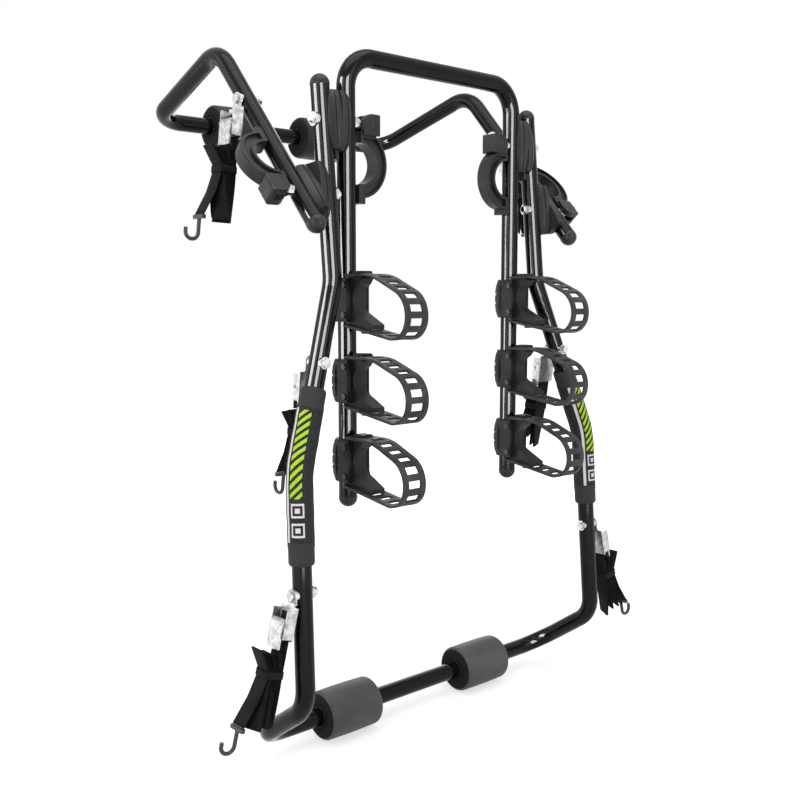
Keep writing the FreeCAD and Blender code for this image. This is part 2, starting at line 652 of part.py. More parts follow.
def ladder_strap():
    """The rubber strap: from the stud on top of the jaw, round the bike's tube and back under it."""
    half = LADDER_THICKNESS / 2.0
    top = JAW_TOP + LADDER_FIT + half
    corners = [cradle_point(LADDER_START_OUT, top), cradle_point(LADDER_PEAK_OUT, top),
               cradle_point(LADDER_NOSE_OUT, LADDER_NOSE_UP),
               cradle_point(LADDER_CHIN_OUT, -LADDER_CHIN_DOWN),
               cradle_point(LADDER_TAIL_OUT, -LADDER_TAIL_DOWN)]
    path = rounded_path(corners, [LADDER_PEAK_R, LADDER_NOSE_R, LADDER_CHIN_R])
    strap = flat_bar(path, V(1, 0, 0), LADDER_WIDTH, LADDER_THICKNESS)
    tail = corners[-1]
    tips = [e for e in strap.Edges if e.Length < 1.5 * LADDER_THICKNESS and (e.CenterOfMass - tail).y > -half
            and abs(e.CenterOfMass.x) > LADDER_WIDTH / 3 and e.CenterOfMass.z < 0]
    strap = strap.makeFillet(LADDER_TAIL_R, tips)
    strap = strap.cut(ladder_stud(LADDER_FIT))
    strap = strap.cut(ladder_tooth((LADDER_SLOT_LENGTH - TOOTH_LENGTH) / 2.0))
    count = int(path.Length / LADDER_PITCH)
    points = path.discretize(Number=4 * count + 1)
    clear = max(STUD_OUT + STUD_LENGTH, TOOTH_OUT + TOOTH_LENGTH) + LADDER_SLOT_LENGTH
    for i in range(6, 4 * count - 3, 4):
        if -points[i].y < clear:
            continue
        along = (points[i + 1] - points[i - 1]).normalize()
        slot = box(-LADDER_SLOT_WIDTH / 2, LADDER_SLOT_WIDTH / 2, -LADDER_THICKNESS, LADDER_THICKNESS,
                   -LADDER_SLOT_LENGTH / 2, LADDER_SLOT_LENGTH / 2)
        strap = strap.cut(upright(slot, points[i], V(1, 0, 0), along))
    return strap


def strap_bolt(centre, outward, tube_along):
    """The bolt of one tie-down strap with its saddle washer and its nut; centre is on the tube's axis."""
    seat = centre + outward * (TUBE_R + STRAP_WASHER_HEIGHT)
    head = seat + outward * (PLATE + BUCKLE_PLAY)
    back = centre - outward * (TUBE_R + STRAP_WASHER_HEIGHT)
    bolt = rod(STRAP_BOLT_R, back - outward * STRAP_NUT_HEIGHT, head)
    bolt = bolt.fuse(rod(STRAP_NUT_R, head, head + outward * STRAP_NUT_HEIGHT * 0.6))
    nut = rod(STRAP_NUT_R, back - outward * STRAP_NUT_HEIGHT, back)
    nut = nut.cut(rod(STRAP_BOLT_R, back - outward * 2 * STRAP_NUT_HEIGHT, back))
    top = TUBE_R + STRAP_WASHER_HEIGHT
    washers = [saddle(centre, outward * sign, tube_along, STRAP_WASHER_R, top, STRAP_BOLT_R)
               for sign in (-1, 1)]
    return Part.makeCompound([bolt, nut] + washers)


def tilted(shape, degrees):
    shape = shape.copy()
    shape.rotate(V(0, 0, 0), V(1, 0, 0), degrees)
    return shape


def buckle(tilt):
    """X runs across the strap, Y away from the tube, and the strap hangs towards -Z from the bolt."""
    tab = rod(TAB_HALF_WIDTH, V(0, 0, 0), V(0, PLATE, 0))
    tab = tab.fuse(box(-TAB_HALF_WIDTH, TAB_HALF_WIDTH, 0, PLATE, -BUCKLE_TOP - PLATE, 0))
    bottom = -BUCKLE_TOP - BUCKLE_LENGTH
    half = BUCKLE_HALF_WIDTH
    body = box(-half, half, 0, PLATE, bottom, -BUCKLE_TOP - BUCKLE_NECK)
    body = body.fuse(box(-TAB_HALF_WIDTH, TAB_HALF_WIDTH, 0, PLATE, -BUCKLE_TOP - BUCKLE_NECK - 1.0,
                         -BUCKLE_TOP))
    for side in (-1, 1):
        inner = side * (half - PLATE)
        outer = side * half
        body = body.fuse(box(min(inner, outer), max(inner, outer), 0, CHEEK_HEIGHT, bottom + BUCKLE_FOOT,
                             -BUCKLE_TOP - CHEEK_DROP))
    over = WEB_THICKNESS + PLATE + BUCKLE_PLAY
    foot = bottom + BUCKLE_FOOT
    body = body.fuse(box(-half, half, over, over + PLATE, foot, foot + BUCKLE_BAR))
    pin_reach = V(half + PIN_HEAD, 0, 0)
    pin = V(0, CAM_UP, -CAM_DOWN)
    body = body.cut(rod(BUCKLE_PIN_R, pin - pin_reach, pin + pin_reach))
    frame = tilted(body, tilt).fuse(tab)
    frame = frame.cut(rod(STRAP_BOLT_R + BOLT_PLAY, V(0, -PLATE, 0), V(0, 3 * PLATE, 0)))
    return [frame, tilted(rod(BUCKLE_PIN_R, pin - pin_reach, pin + pin_reach), tilt)]


def buckle_cam(tilt):
    half = BUCKLE_HALF_WIDTH - PLATE - BUCKLE_PLAY
    pin = V(0, CAM_UP, -CAM_DOWN)
    reach = V(half, 0, 0)
    cam = rod(DRUM_R, pin - reach, pin + reach)
    for degrees in GRIP_ANGLES:
        groove = box(-half, half, DRUM_R - GRIP_DEPTH, DRUM_R + GRIP_DEPTH, -GRIP_HALF, GRIP_HALF)
        groove.rotate(V(0, 0, 0), V(1, 0, 0), degrees)
        groove.translate(pin)
        cam = cam.cut(groove)
    top = CAM_UP + DRUM_R
    wide = half - THUMB_NARROWER
    thumb = box(-wide, wide, top - THUMB_THICKNESS, top, -CAM_DOWN - THUMB_LENGTH, -CAM_DOWN)
    cam = cam.fuse(thumb).cut(rod(BUCKLE_PIN_R + BOLT_PLAY, pin - reach * 2, pin + reach * 2))
    return tilted(cam, tilt)


def webbing_route():
    """The strap's route from the buckle through its hank: (away from the tube, up) points and bend radii."""
    first = PLATE + WEB_THICKNESS / 2.0 + WEB_FIT / 2.0
    middle = first + (WEB_STRANDS - 1) / 2.0 * WEB_PITCH
    half_band = (BAND_HEIGHT + WEB_THICKNESS) / 2.0
    points = [V(0, first, -BUCKLE_TOP - CHEEK_DROP - WEB_START)]
    radii = []
    for i in range(WEB_STRANDS):
        place = i - (WEB_STRANDS - 1) / 2.0
        uneven = WEB_UNEVEN * math.sin(2.1 * (i // 2) + 0.6)
        waist = first + i * WEB_PITCH
        fan = V(0, middle + WEB_FAN_LEAN + place * WEB_FAN, -WAIST_DOWN - FAN_LENGTH - uneven)
        head = V(0, middle + WEB_HEAD_LEAN + place * WEB_HEAD, -WAIST_DOWN + HEAD_LENGTH)
        upper = V(0, waist, -WAIST_DOWN + half_band)
        lower = V(0, waist, -WAIST_DOWN - half_band)
        run = [(head, HEAD_TURN_R), (upper, WEB_BEND_R), (lower, WEB_BEND_R), (fan, FAN_TURN_R)]
        if i == 0:
            run = run[2:]
        if i % 2:
            run = run[::-1]
        for point, radius in run:
            points.append(point)
            radii.append(radius)
    return points, radii[:-1]


def webbing(tilt):
    points, radii = webbing_route()
    path = rounded_path(points, radii)
    strap = flat_bar(path, V(1, 0, 0), WEB_WIDTH, WEB_THICKNESS)
    half = WEB_WIDTH / 2.0 + WEB_FIT
    near = points[1].y - WEB_THICKNESS / 2.0 - WEB_FIT
    far = near + (WEB_STRANDS - 1) * WEB_PITCH + WEB_THICKNESS + 2 * WEB_FIT
    wall = BAND_THICKNESS
    tie = box(-half - wall, half + wall, near - wall, far + wall,
              -WAIST_DOWN - BAND_HEIGHT / 2, -WAIST_DOWN + BAND_HEIGHT / 2)
    tie = tie.cut(box(-half, half, near, far, -2 * WAIST_DOWN, 0))
    return [tilted(strap, tilt), tilted(tie, tilt)], path.Length


def hook(tilt):
    end = webbing_route()[0][-1]
    top = end.z - HOOK_BELOW
    bar = box(-WEB_WIDTH / 2, WEB_WIDTH / 2, end.y - HOOK_WIRE_R, end.y + HOOK_WIRE_R,
              top - 2 * HOOK_WIRE_R, top)
    bottom = end - V(0, 0, HOOK_SHANK + HOOK_BEND_R)
    turn = V(0, 2 * HOOK_BEND_R + HOOK_FLAT, 0)
    start = end - V(0, 0, HOOK_BELOW + HOOK_WIRE_R)
    corners = [start, bottom, bottom + turn, bottom + turn + V(0, 0, HOOK_RETURN)]
    wire = round_bar(rounded_path(corners, [HOOK_BEND_R, HOOK_BEND_R]), HOOK_WIRE_R)
    return tilted(bar.fuse(wire), tilt)


def print_webbing():
    points, radii = webbing_route()
    path = rounded_path(points, radii)
    samples = path.discretize(Distance=0.8)
    least = min((a - b).Length for i, a in enumerate(samples) for b in samples[i + 20:])
    print("webbing length", round(path.Length), "least gap to itself", round(least - WEB_THICKNESS, 2))


def strap_places():
    """Name, bolt centre on the tube, outward direction, tube direction and tilt of each tie-down strap."""
    places = []
    for word, side in LEFT_RIGHT:
        outward = V(side, 0, 0)
        places.append(("top_" + word, upper_leg_point(side, TOP_STRAP_DOWN), outward, UPPER_DOWN, TOP_TILT))
        places.append(("side_" + word, lower_leg_point(side, SIDE_STRAP_Z), V(0, 1, 0),
                       lower_leg_direction(side, SIDE_STRAP_Z), SIDE_TILT))
        places.append(("bottom_" + word, lower_leg_point(side, BOTTOM_STRAP_Z), outward,
                       lower_leg_direction(side, BOTTOM_STRAP_Z), BOTTOM_TILT))
    return places


def build_lower_frame():
    save("lower_frame_tube", lower_frame_tube())
    save("lower_frame_end_caps", *[end_cap(leg_point(s, LEG_TOP_Z), LEG_DOWN * -1) for _, s in LEFT_RIGHT])
    for word, side in LEFT_RIGHT:
        save("lower_roller_" + word, roller(V(side * LOWER_ROLLER_X, 0, 0)))
        save("sleeve_" + word, sleeve(side))
    upper_gap = SHOULDER_X - ARM_PLANE_X
    lower_gap = UPPER_PLANE_X - SHOULDER_X
    hole = BOLT_R + BOLT_PLAY
    leg_up = LEG_DOWN * -1
    save("frame_knuckles_upper",
         *[upright(knuckle(upper_gap, hole, True), arm_pivot(s), V(s, 0, 0), leg_up) for _, s in LEFT_RIGHT])
    save("frame_knuckles_lower",
         *[upright(knuckle(lower_gap, hole), upper_pivot(s), V(-s, 0, 0), leg_up) for _, s in LEFT_RIGHT])
    top = TUBE_R + SADDLE_HEIGHT
    save("pivot_saddles",
         *[saddle(leg_point(s, z), V(s * turn, 0, 0), LEG_DOWN, SADDLE_R, top, hole)
           for _, s in LEFT_RIGHT for z, turn in ((ARM_PIVOT_Z, 1), (UPPER_PIVOT_Z, -1))])


def build_pivot(which, tube_x, pivot_z, turn, along):
    """Bolts, nuts, pins, washers and levers; turn is 1 where the levers are outboard and -1 inboard."""
    parts = {"bolts": [], "nuts": [], "pins": [], "washers": []}
    y = leg_point(1, pivot_z).y
    for word, side in LEFT_RIGHT:
        outward = V(side * turn, 0, 0)
        seat = leg_point(side, pivot_z) - outward * (TUBE_R + SADDLE_HEIGHT + CAM_CLEARANCE)
        clamped = V(side * tube_x, y, pivot_z)
        parts["bolts"].append(pivot_bolt(seat, clamped, outward, along))
        parts["nuts"].append(dome_nut(seat, outward * -1))
        parts["pins"].append(cam_pin(clamped, outward, along))
        top = CAM_PIN_OUT - CAM_R - CAM_CLEARANCE
        parts["washers"].append(saddle(clamped, outward, along, CAM_WASHER_R, top, BOLT_R))
        save("cam_lever_" + which + "_" + word, upright(cam_lever(), clamped, outward, along * -1))
    save("pivot_bolts_" + which, *parts["bolts"])
    save("pivot_nuts_" + which, *parts["nuts"])
    save("cam_pins_" + which, *parts["pins"])
    save("cam_washers_" + which, *parts["washers"])


def build_bike_arms():
    save("arm_hoop_tube", arm_hoop_tube())
    end = ARM_PIVOT_Z - ARM_DROP
    save("arm_end_caps", *[end_cap(V(s * ARM_X, ARM_Y, end), DOWN) for _, s in LEFT_RIGHT])
    gap = ARM_PLANE_X - ARM_X
    save("arm_knuckles", *[upright(knuckle(gap, BOLT_R), arm_pivot(s), V(-s, 0, 0), DOWN * -1)
                           for _, s in LEFT_RIGHT])
    build_pivot("upper", ARM_X, ARM_PIVOT_Z, -1, DOWN)
    pieces = {"cradle_seats": [], "cradle_shells": [], "cradle_screws": []}
    seat, shell, screws, strap = cradle_seat(), cradle_shell(), cradle_screws(), ladder_strap()
    for word, side in LEFT_RIGHT:
        straps = []
        for number in range(CRADLES):
            place = V(side * ARM_X, ARM_Y, end + CRADLE_END_GAP + CRADLE_SPACING * number)
            for node, shape in (("cradle_seats", seat), ("cradle_shells", shell), ("cradle_screws", screws)):
                pieces[node].append(moved(shape, place, V(1, 0, 0), V(0, 1, 0)))
            straps.append(moved(strap, place, V(1, 0, 0), V(0, 1, 0)))
        save("ladder_straps_" + word, *straps)
    for node, shapes in pieces.items():
        save(node, *shapes)


def build_upper_frame():
    save("upper_frame_tube", upper_frame_tube())
    save("upper_frame_end_caps",
         *[end_cap(upper_leg_point(s, -UPPER_TAIL), UPPER_DOWN * -1) for _, s in LEFT_RIGHT])
    bar = upper_frame_corners(1)[-1]
    for word, side in LEFT_RIGHT:
        save("upper_roller_" + word, roller(V(side * UPPER_ROLLER_X, bar.y, bar.z)))
    gap = UPPER_X - UPPER_PLANE_X
    save("upper_knuckles", *[upright(knuckle(gap, BOLT_R), upper_pivot(s), V(s, 0, 0), UPPER_DOWN * -1)
                             for _, s in LEFT_RIGHT])
    build_pivot("lower", UPPER_X, UPPER_PIVOT_Z, 1, UPPER_DOWN)


def build_straps():
    bolts = {"frame": [], "upper": []}
    for name, centre, outward, along, tilt in strap_places():
        bolts["upper" if name.startswith("top") else "frame"].append(strap_bolt(centre, outward, along))
        origin = centre + outward * (TUBE_R + STRAP_WASHER_HEIGHT)
        across = outward.cross(V(0, 0, 1))
        for node, shapes in (("buckle_", buckle(tilt)), ("buckle_cam_", [buckle_cam(tilt)]),
                             ("webbing_", webbing(tilt)[0]), ("hook_", [hook(tilt)])):
            save(node + name, *[moved(shape, origin, across, outward) for shape in shapes])
    save("strap_bolts_frame", *bolts["frame"])
    save("strap_bolts_upper", *bolts["upper"])


build_lower_frame()
build_bike_arms()
build_upper_frame()
build_straps()
print_webbing()
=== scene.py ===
import json
import math
import random

import bmesh
import bpy
from mathutils import Matrix, Vector


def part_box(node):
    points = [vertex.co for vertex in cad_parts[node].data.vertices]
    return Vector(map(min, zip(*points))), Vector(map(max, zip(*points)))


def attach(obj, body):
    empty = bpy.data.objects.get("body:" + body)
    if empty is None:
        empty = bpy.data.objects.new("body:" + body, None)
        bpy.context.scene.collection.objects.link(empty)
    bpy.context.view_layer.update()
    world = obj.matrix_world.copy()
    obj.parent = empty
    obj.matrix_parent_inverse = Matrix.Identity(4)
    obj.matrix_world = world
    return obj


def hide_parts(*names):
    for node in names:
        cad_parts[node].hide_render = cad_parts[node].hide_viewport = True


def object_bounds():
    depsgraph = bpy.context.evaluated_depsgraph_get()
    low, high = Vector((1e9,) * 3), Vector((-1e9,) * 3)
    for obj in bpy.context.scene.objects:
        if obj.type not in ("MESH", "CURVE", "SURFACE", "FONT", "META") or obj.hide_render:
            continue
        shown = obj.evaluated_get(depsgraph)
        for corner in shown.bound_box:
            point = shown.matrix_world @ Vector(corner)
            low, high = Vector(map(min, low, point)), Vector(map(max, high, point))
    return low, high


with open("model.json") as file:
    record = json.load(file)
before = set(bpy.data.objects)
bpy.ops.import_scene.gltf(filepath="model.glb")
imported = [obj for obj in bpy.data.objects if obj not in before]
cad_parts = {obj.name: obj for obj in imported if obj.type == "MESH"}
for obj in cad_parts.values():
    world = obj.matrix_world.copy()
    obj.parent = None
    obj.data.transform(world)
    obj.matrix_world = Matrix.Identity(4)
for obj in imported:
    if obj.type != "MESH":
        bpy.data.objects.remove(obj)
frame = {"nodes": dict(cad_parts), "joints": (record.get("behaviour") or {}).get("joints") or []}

cad_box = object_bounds()

# The camera stands to the left of the rack and a little above its middle, on the side where the
# bikes hang, and looks across the frame towards the car.
CAMERA_PLACE = (-0.974, -1.088, 0.602)
CAMERA_TURN = 41.0
CAMERA_DROP = 6.3
CAMERA_LENS = 44.2

camera = bpy.data.objects.new("camera", bpy.data.cameras.new("camera"))
camera.data.lens = CAMERA_LENS
camera.data.clip_start = 0.01
camera.location = CAMERA_PLACE
camera.rotation_euler = (math.radians(90 - CAMERA_DROP), 0, math.radians(-CAMERA_TURN))
bpy.context.collection.objects.link(camera)
bpy.context.scene.camera = camera
bpy.context.scene.view_settings.view_transform = "Standard"

# A white studio: tall soft boxes on all sides light the rack, and a wide one overhead lights the
# top bars. Two more show only as the long highlights of the tubes' gloss. The floor keeps the
# shadow.
STRIP_SIZE = (1.0, 2.6)
STRIPS = (((-2.3, -0.9, 0.9), 30.0), ((0.5, -2.5, 0.9), 22.0),
          ((1.6, 1.9, 1.1), 14.0), ((-1.9, 1.6, 1.1), 12.0))
GLOSS_SIZE = (1.3, 2.6)
GLOSS_STRIPS = (((-2.35, 0.35, 0.9), 650.0), ((-0.94, -2.2, 0.7), 520.0))
TOP_BOX_SIZE = (2.6, 1.6)
TOP_BOX_PLACE = (-0.3, -0.5, 2.7)
TOP_BOX_POWER = 34.0
RACK_MIDDLE = Vector((0, 0, 0.5))
AMBIENT = 0.34
FLOOR_SIZE = 12.0
FLOOR_GAP = 0.0006
PAPER_GREY = 0.6
PAPER_ROUGHNESS = 0.9
PAPER_GLOW = {"From Min": 0.5, "From Max": 2.4, "To Min": 0.6, "To Max": 1.0}


def soft_box(name, place, size, power, lights=None):
    """An area lamp turned to the rack. Given a collection, it lights only the gloss of that."""
    lamp = bpy.data.lights.new(name, "AREA")
    lamp.shape = "RECTANGLE"
    lamp.size, lamp.size_y = size
    lamp.energy = power
    box = bpy.data.objects.new(name, lamp)
    box.location = place
    aim = RACK_MIDDLE - Vector(place)
    if size[1] > size[0]:
        aim.z = 0
    box.rotation_euler = aim.to_track_quat("-Z", "Y").to_euler()
    box.visible_camera = False
    box.visible_diffuse = lights is None
    box.light_linking.receiver_collection = lights
    bpy.context.collection.objects.link(box)


for number, (place, power) in enumerate(STRIPS):
    soft_box(f"strip_light_{number}", place, STRIP_SIZE, power)
glossy = bpy.data.collections.new("glossy_tubes")
for name in ("lower_frame_tube", "arm_hoop_tube", "upper_frame_tube"):
    glossy.objects.link(frame["nodes"][name])
for number, (place, power) in enumerate(GLOSS_STRIPS):
    soft_box(f"gloss_strip_{number}", place, GLOSS_SIZE, power, glossy)
soft_box("top_light", TOP_BOX_PLACE, TOP_BOX_SIZE, TOP_BOX_POWER)


def add(tree, kind, **values):
    """A new node with some of its inputs set."""
    node = tree.nodes.new(kind)
    for name, value in values.items():
        node.inputs[name].default_value = value
    return node


def seen_directly(tree):
    """1 for rays that look at the background straight, in a reflection or through glass."""
    rays = tree.nodes.new("ShaderNodeLightPath")
    total = rays.outputs["Is Camera Ray"]
    for kind in ("Is Glossy Ray", "Is Transmission Ray"):
        either = tree.nodes.new("ShaderNodeMath")
        either.operation = "MAXIMUM"
        tree.links.new(total, either.inputs[0])
        tree.links.new(rays.outputs[kind], either.inputs[1])
        total = either.outputs[0]
    return total


world = bpy.data.worlds.new("white_room")
world.use_nodes = True
bpy.context.scene.world = world
sky = world.node_tree
sky.nodes["Background"].inputs["Color"].default_value = (1, 1, 1, 1)
level = add(sky, "ShaderNodeMapRange", **{"To Min": AMBIENT})
sky.links.new(seen_directly(sky), level.inputs["Value"])
sky.links.new(level.outputs["Result"], sky.nodes["Background"].inputs["Strength"])

mesh = bmesh.new()
bmesh.ops.create_grid(mesh, x_segments=1, y_segments=1, size=FLOOR_SIZE)
bmesh.ops.translate(mesh, verts=mesh.verts, vec=(0, 0, cad_box[0][2] - FLOOR_GAP))
floor = bpy.data.objects.new("floor", bpy.data.meshes.new("floor"))
mesh.to_mesh(floor.data)
mesh.free()
bpy.context.collection.objects.link(floor)
paper = bpy.data.materials.new("white_paper")
paper.use_nodes = True
tree = paper.node_tree
tree.nodes["Principled BSDF"].inputs["Base Color"].default_value = (*[PAPER_GREY] * 3, 1)
tree.nodes["Principled BSDF"].inputs["Roughness"].default_value = PAPER_ROUGHNESS
place = tree.nodes.new("ShaderNodeTexCoord")
far = tree.nodes.new("ShaderNodeVectorMath")
far.operation = "LENGTH"
tree.links.new(place.outputs["Object"], far.inputs[0])
rise = add(tree, "ShaderNodeMapRange", **PAPER_GLOW)
tree.links.new(far.outputs["Value"], rise.inputs["Value"])
share = tree.nodes.new("ShaderNodeMath")
share.operation = "MULTIPLY"
tree.links.new(seen_directly(tree), share.inputs[0])
tree.links.new(rise.outputs["Result"], share.inputs[1])
glow = add(tree, "ShaderNodeEmission", Color=(1, 1, 1, 1))
tree.links.new(share.outputs[0], glow.inputs["Strength"])
both = tree.nodes.new("ShaderNodeAddShader")
tree.links.new(tree.nodes["Principled BSDF"].outputs[0], both.inputs[0])
tree.links.new(glow.outputs[0], both.inputs[1])
tree.links.new(both.outputs[0], tree.nodes["Material Output"].inputs["Surface"])
floor.data.materials.append(paper)

# The three frames are one inch steel tube, bent cold on a mandrel and powder coated in gloss black.
# The coat has a faint orange peel and a few dull patches where it was handled.
TUBE_BLACK = (0.003, 0.003, 0.0033)
TUBE_GREY = (0.006, 0.006, 0.0065)
ORANGE_PEEL = 260.0
ORANGE_PEEL_DEPTH = 0.000012
COLOUR_PLACES = (0.35, 0.65)


def new_finish(name, roughness, metallic=0.0, specular=0.5):
    """A Principled material and its node tree."""
    material = bpy.data.materials.new(name)
    material.use_nodes = True
    shader = material.node_tree.nodes["Principled BSDF"]
    shader.inputs["Roughness"].default_value = roughness
    shader.inputs["Metallic"].default_value = metallic
    shader.inputs["Specular IOR Level"].default_value = specular
    return material, material.node_tree


def noise(tree, scale, detail=3.0, stretch=(1, 1, 1)):
    """Noise over the piece's own coordinates, drawn out along an axis where stretch is under 1."""
    place = tree.nodes.new("ShaderNodeTexCoord")
    turn = tree.nodes.new("ShaderNodeMapping")
    turn.inputs["Scale"].default_value = stretch
    cloud = add(tree, "ShaderNodeTexNoise", Scale=scale, Detail=detail)
    tree.links.new(place.outputs["Object"], turn.inputs["Vector"])
    tree.links.new(turn.outputs["Vector"], cloud.inputs["Vector"])
    return cloud.outputs["Fac"]


def colours(tree, fac, low, high):
    """The shader's colour, from low to high as fac passes the two places."""
    ramp = tree.nodes.new("ShaderNodeValToRGB")
    for element, colour, place in zip(ramp.color_ramp.elements, (low, high), COLOUR_PLACES):
        element.position = place
        element.color = (*colour, 1)
    tree.links.new(fac, ramp.inputs["Fac"])
    tree.links.new(ramp.outputs["Color"], tree.nodes["Principled BSDF"].inputs["Base Color"])


def roughness(tree, fac, low, high):
    """The shader's roughness, from low to high with fac."""
    span = add(tree, "ShaderNodeMapRange", **{"To Min": low, "To Max": high})
    tree.links.new(fac, span.inputs["Value"])
    tree.links.new(span.outputs["Result"], tree.nodes["Principled BSDF"].inputs["Roughness"])


def bump(tree, fac, depth, strength=1.0):
    """Small relief of that depth in metres, laid over any relief that the finish already has."""
    relief = add(tree, "ShaderNodeBump", Strength=strength, Distance=depth)
    normal = tree.nodes["Principled BSDF"].inputs["Normal"]
    if normal.is_linked:
        tree.links.new(normal.links[0].from_socket, relief.inputs["Normal"])
    tree.links.new(fac, relief.inputs["Height"])
    tree.links.new(relief.outputs["Normal"], normal)


def finish_nodes(material, *names):
    """Gives CAD pieces their finish."""
    for name in names:
        for material_slot in frame["nodes"][name].material_slots:
            material_slot.material = material


powder_coat, tree = new_finish("gloss_black_powder_coat", 0.12, specular=0.14)
colours(tree, noise(tree, 9.0), TUBE_BLACK, TUBE_GREY)
roughness(tree, noise(tree, 30.0, 4.0), 0.06, 0.15)
bump(tree, noise(tree, ORANGE_PEEL, 1.0), ORANGE_PEEL_DEPTH)
finish_nodes(powder_coat, "lower_frame_tube", "arm_hoop_tube", "upper_frame_tube")

# The end caps are moulded plastic domes, pushed into the open ends of the tubes. They scuff
# grey where the rack is stood on them; here the grey lies in random patches over the whole cap.
cap_plastic, tree = new_finish("end_cap_plastic", 0.3, specular=0.25)
colours(tree, noise(tree, 60.0, 5.0), (0.01, 0.01, 0.011), (0.03, 0.03, 0.0315))
roughness(tree, noise(tree, 90.0, 4.0), 0.25, 0.45)
bump(tree, noise(tree, 1400.0), 0.00002)
finish_nodes(cap_plastic, "lower_frame_end_caps", "arm_end_caps", "upper_frame_end_caps")

# Four rollers of one grey closed-cell foam sit on the crossbars. The upper pair is coloured
# darker: painted shade. Each is cut from extruded tube, with softly rounded edges and black cut
# ends round a hard liner.
LEFT_RIGHT = (("left", -1), ("right", 1))
ROLLER_STEPS = 96
ROLLER_BORE = 0.0129
ROLLER_EDGE = 0.0045
ROLLER_CROWN = 0.0007
CROWN_PLACES = (0.9, 0.7, 0.45, 0.2)
END_DISH = (0.0008, 0.0006)
DISH_SHARE = 0.6
END_DISC_SHARE = 0.88
END_DISC_PROUD = 0.0009
END_DISC_SUNK = 0.003
END_DISC_CORNER = (0.00045, 0.0012)
LINER_STEPS = 48
LINER_R = 0.0162
LINER_PROUD = 0.0026
LINER_SUNK = 0.004
LINER_CORNER = (0.0006, 0.0006)
# The upper pair's darker colours are painted shade on the same grey foam as the lower pair.
FOAM_AND_SHADE_COLOURS = {"lower": ((0.065, 0.065, 0.067), (0.1, 0.1, 0.104)),
                "upper": ((0.012, 0.012, 0.0125), (0.028, 0.028, 0.029))}


def new_piece(name, mesh, material, body):
    """Turns a bmesh into a smooth piece that rides on a CAD body."""
    bmesh.ops.recalc_face_normals(mesh, faces=mesh.faces)
    for face in mesh.faces:
        face.smooth = True
    piece = bpy.data.objects.new(name, bpy.data.meshes.new(name))
    mesh.to_mesh(piece.data)
    mesh.free()
    bpy.context.collection.objects.link(piece)
    piece.data.materials.append(material)
    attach(piece, body)
    return piece


def lathe(mesh, profile, steps=ROLLER_STEPS):
    """Spins a closed profile of (along X, radius) points round the X axis."""
    corners = [mesh.verts.new((x, 0, radius)) for x, radius in profile]
    edges = [mesh.edges.new(pair) for pair in zip(corners, corners[1:] + corners[:1])]
    bmesh.ops.spin(mesh, geom=corners + edges, cent=(0, 0, 0), axis=(1, 0, 0), angle=math.tau,
                   steps=steps, use_merge=True)


def crowned_profile(half, radius):
    """A foam roller's section: a low crown between rounded edges, and slightly dished ends."""
    edge = [(half - ROLLER_EDGE + ROLLER_EDGE * math.sin(math.radians(a)),
             radius - ROLLER_CROWN - ROLLER_EDGE + ROLLER_EDGE * math.cos(math.radians(a)))
            for a in range(0, 91, 15)]
    span = half - ROLLER_EDGE
    crown = [(x * span, radius - ROLLER_CROWN * x * x) for x in CROWN_PLACES]
    dish = [(half - END_DISH[0], ROLLER_BORE), (half - END_DISH[1], radius * DISH_SHARE)]
    right = dish + edge[::-1] + crown
    return right + [(-x, r) for x, r in right[::-1]]


def ring_profile(half, inner, outer, sunk, proud, corner):
    """The section of a ring set into a roller's end, with its outer corner cut off."""
    along, inwards = corner
    return [(half - sunk, inner), (half - sunk, outer), (half + proud - along, outer),
            (half + proud, outer - inwards), (half + proud, inner)]


foam_skin_and_shade = {}
for bar, (low, high) in FOAM_AND_SHADE_COLOURS.items():
    foam_skin_and_shade[bar], tree = new_finish(f"foam_skin_and_shade_{bar}", 0.55, specular=0.2)
    colours(tree, noise(tree, 26.0, 5.0, (0.35, 1, 1)), low, high)
    roughness(tree, noise(tree, 70.0, 4.0), 0.42, 0.62)
    bump(tree, noise(tree, 60.0, 2.0, (0.3, 1, 1)), 0.0004, 0.5)
    bump(tree, noise(tree, 1500.0, 2.0), 0.00006, 0.6)
foam_end, tree = new_finish("black_foam_end", 0.85, specular=0.12)
colours(tree, noise(tree, 500.0, 4.0), (0.008, 0.008, 0.008), (0.02, 0.02, 0.02))
bump(tree, noise(tree, 1800.0, 3.0), 0.0001, 0.8)

for bar, body in (("lower", "main_frame"), ("upper", "upper_frame")):
    for word, _ in LEFT_RIGHT:
        node = f"{bar}_roller_{word}"
        low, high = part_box(node)
        middle = (Vector(low) + Vector(high)) / 2
        half = (high[0] - low[0]) / 2
        radius = (high[2] - low[2]) / 2
        mesh = bmesh.new()
        lathe(mesh, crowned_profile(half, radius))
        bmesh.ops.translate(mesh, verts=mesh.verts, vec=middle)
        foam = new_piece(f"foam_roller_{bar}_{word}", mesh, foam_skin_and_shade[bar], body)
        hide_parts(node)
        disc = ring_profile(half, LINER_R, radius * END_DISC_SHARE, END_DISC_SUNK, END_DISC_PROUD,
                            END_DISC_CORNER)
        liner = ring_profile(half, ROLLER_BORE, LINER_R, LINER_SUNK, LINER_PROUD, LINER_CORNER)
        mesh = bmesh.new()
        for end in (-1, 1):
            lathe(mesh, [(end * x, r) for x, r in disc])
            lathe(mesh, [(end * x, r) for x, r in liner], LINER_STEPS)
        bmesh.ops.translate(mesh, verts=mesh.verts, vec=middle)
        ends = new_piece(f"foam_roller_ends_{bar}_{word}", mesh, foam_end, body)

